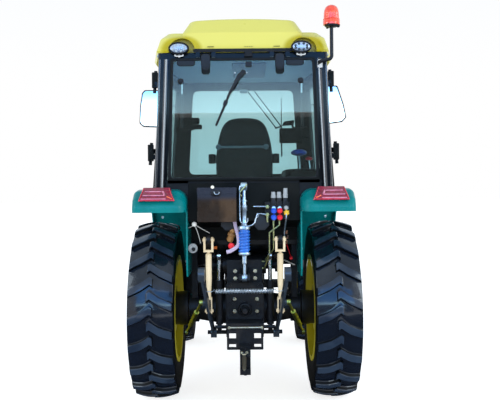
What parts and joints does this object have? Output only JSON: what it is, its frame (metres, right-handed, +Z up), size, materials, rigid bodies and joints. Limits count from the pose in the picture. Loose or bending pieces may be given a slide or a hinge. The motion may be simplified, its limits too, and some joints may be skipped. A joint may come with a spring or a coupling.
{
  "type": "farm tractor",
  "caption": "Compact four-wheel-drive farm tractor with a glazed cab, opening doors, rear window and hood, steered front wheels and a raised three-point hitch.",
  "frame": {"origin": "on the floor, at the middle of the tractor's length and width", "axes": "+Y the way it drives, +X its right-hand side, +Z up"},
  "size_m": [1.8102, 3.6198, 2.701],
  "materials": {
    "roof_yellow": "glossy",
    "rim_yellow": "glossy",
    "tyre": "matte",
    "body_green": "glossy",
    "black_plastic": "satin",
    "lamp_glass": "glossy",
    "red_lens": "glossy",
    "orange_lens": "glossy",
    "cab_black": "glossy",
    "tinted_glass": "clear",
    "chassis_black": "satin",
    "zinc": "satin",
    "zinc_yellow": "satin",
    "rod_cream": "satin",
    "chrome": "polished",
    "seat_vinyl": "satin"
  },
  "bodies": {
    "tractor": {"beacon": "orange_lens", "beacon_pole": "chassis_black", "cab_glass": "tinted_glass", "cab_posts": "cab_black", "cab_rear_wall": "cab_black", "cab_roof_ring": "cab_black", "cab_tub": "cab_black", "clutch_housing": "chassis_black", "dash": "black_plastic", "drawbar": "chassis_black", "drive_shaft": "chassis_black", "engine": "chassis_black", "fenders": "body_green", "front_axle": "chassis_black", "front_frame": "chassis_black", "fuel_tank": "black_plastic", "hydraulic_pipes": "zinc", "mirrors": "black_plastic", "rear_housing": "chassis_black", "roof": "roof_yellow", "seat": "seat_vinyl", "steering_wheel": "black_plastic", "steps": "chassis_black", "tail_lamps": "red_lens", "toolbox": "black_plastic", "trailer_socket": "zinc", "valve_block": "zinc", "work_lamps": "lamp_glass"},
    "rear_wheel_left": {"rear_tyre_left": "tyre", "rear_rim_left": "rim_yellow"},
    "knuckle_left": {"knuckle_left": "chassis_black"},
    "front_wheel_left": {"front_tyre_left": "tyre", "front_rim_left": "rim_yellow"},
    "door_left": {"door_left": "cab_black", "door_glass_left": "tinted_glass"},
    "rear_wheel_right": {"rear_tyre_right": "tyre", "rear_rim_right": "rim_yellow"},
    "knuckle_right": {"knuckle_right": "chassis_black"},
    "front_wheel_right": {"front_tyre_right": "tyre", "front_rim_right": "rim_yellow"},
    "door_right": {"door_right": "cab_black", "door_glass_right": "tinted_glass"},
    "tie_rod": {"tie_rod": "zinc"},
    "rear_window": {"rear_window_frame": "cab_black", "rear_window_glass": "tinted_glass"},
    "hood": {"hood": "body_green", "grille": "black_plastic", "headlamps": "lamp_glass"},
    "lift_arms": {"lift_arms": "chassis_black"},
    "lower_links": {"lower_links": "chassis_black", "stabilisers": "zinc_yellow", "link_spring": "zinc"},
    "lift_rods": {"lift_rods": "rod_cream"},
    "lift_barrels": {"lift_barrels": "chassis_black"},
    "lift_pistons": {"lift_pistons": "chrome"},
    "top_link": {"top_link": "zinc"}
  },
  "joints": [
    {"name": "rear_wheel_left_spin", "type": "hinge", "parent": "tractor", "child": "rear_wheel_left", "pos_m": [-0.619, -0.935, 0.625], "axis": [-1, 0, 0], "continuous": true},
    {"name": "rear_wheel_right_spin", "type": "hinge", "parent": "tractor", "child": "rear_wheel_right", "pos_m": [0.619, -0.935, 0.625], "axis": [-1, 0, 0], "continuous": true},
    {"name": "steer", "type": "hinge", "parent": "tractor", "child": "knuckle_left", "pos_m": [-0.455, 0.965, 0.45], "axis": [0, 0, 1], "range_deg": [-38, 38]},
    {"name": "steer_right", "type": "hinge", "parent": "tractor", "child": "knuckle_right", "pos_m": [0.455, 0.965, 0.45], "axis": [0, 0, 1], "range_deg": [-38, 38]},
    {"name": "tie_rod_turn", "type": "hinge", "parent": "knuckle_left", "child": "tie_rod", "pos_m": [-0.455, 0.775, 0.363], "axis": [0, 0, 1], "range_deg": [-38, 38]},
    {"name": "front_wheel_left_spin", "type": "hinge", "parent": "knuckle_left", "child": "front_wheel_left", "pos_m": [-0.6, 0.965, 0.445], "axis": [-1, 0, 0], "continuous": true},
    {"name": "front_wheel_right_spin", "type": "hinge", "parent": "knuckle_right", "child": "front_wheel_right", "pos_m": [0.6, 0.965, 0.445], "axis": [-1, 0, 0], "continuous": true},
    {"name": "door_left_swing", "type": "hinge", "parent": "tractor", "child": "door_left", "pos_m": [-0.70487, -0.56742, 1.93023], "axis": [0.069, -0.0076, 0.9976], "range_deg": [0, 70]},
    {"name": "door_right_swing", "type": "hinge", "parent": "tractor", "child": "door_right", "pos_m": [0.70487, -0.56742, 1.93023], "axis": [0.069, 0.0076, -0.9976], "range_deg": [0, 70]},
    {"name": "rear_window_lift", "type": "hinge", "parent": "tractor", "child": "rear_window", "pos_m": [0, -1.36, 2.378], "axis": [-1, 0, 0], "range_deg": [0, 50]},
    {"name": "hood_lift", "type": "hinge", "parent": "tractor", "child": "hood", "pos_m": [0, 0.215, 1.374], "axis": [1, 0, 0], "range_deg": [0, 50]},
    {"name": "lift", "type": "hinge", "parent": "tractor", "child": "lift_arms", "pos_m": [0, -1.135, 0.954], "axis": [1, 0, 0], "range_deg": [0, 50]},
    {"name": "lift_rods_turn", "type": "hinge", "parent": "lift_arms", "child": "lift_rods", "pos_m": [0, -1.40187, 1.14811], "axis": [1, 0, 0], "range_deg": [-50, 0]},
    {"name": "lower_links_turn", "type": "hinge", "parent": "tractor", "child": "lower_links", "pos_m": [0, -1.105, 0.48], "axis": [1, 0, 0], "range_deg": [0, 50]},
    {"name": "lift_barrels_turn", "type": "hinge", "parent": "tractor", "child": "lift_barrels", "pos_m": [0, -1.235, 0.54], "axis": [1, 0, 0], "range_deg": [0, 3.7]},
    {"name": "lift_pistons_slide", "type": "slide", "parent": "lift_barrels", "child": "lift_pistons", "axis": [0, 0.0061, 1], "range_m": [-0.09799, 0]},
    {"name": "top_link_lower", "type": "hinge", "parent": "tractor", "child": "top_link", "pos_m": [0, -1.41, 0.895], "axis": [1, 0, 0], "range_deg": [0, 85]}
  ],
  "couplings": [
    {"joint": "steer_right", "follows": "steer", "ratio": 1},
    {"joint": "tie_rod_turn", "follows": "steer", "ratio": -1},
    {"joint": "lift_rods_turn", "follows": "lift", "ratio": -1},
    {"joint": "lower_links_turn", "follows": "lift", "ratio": 1},
    {"joint": "lift_barrels_turn", "follows": "lift", "ratio": 0.07392},
    {"joint": "lift_pistons_slide", "follows": "lift", "m_per_rad": -0.11229}
  ]
}
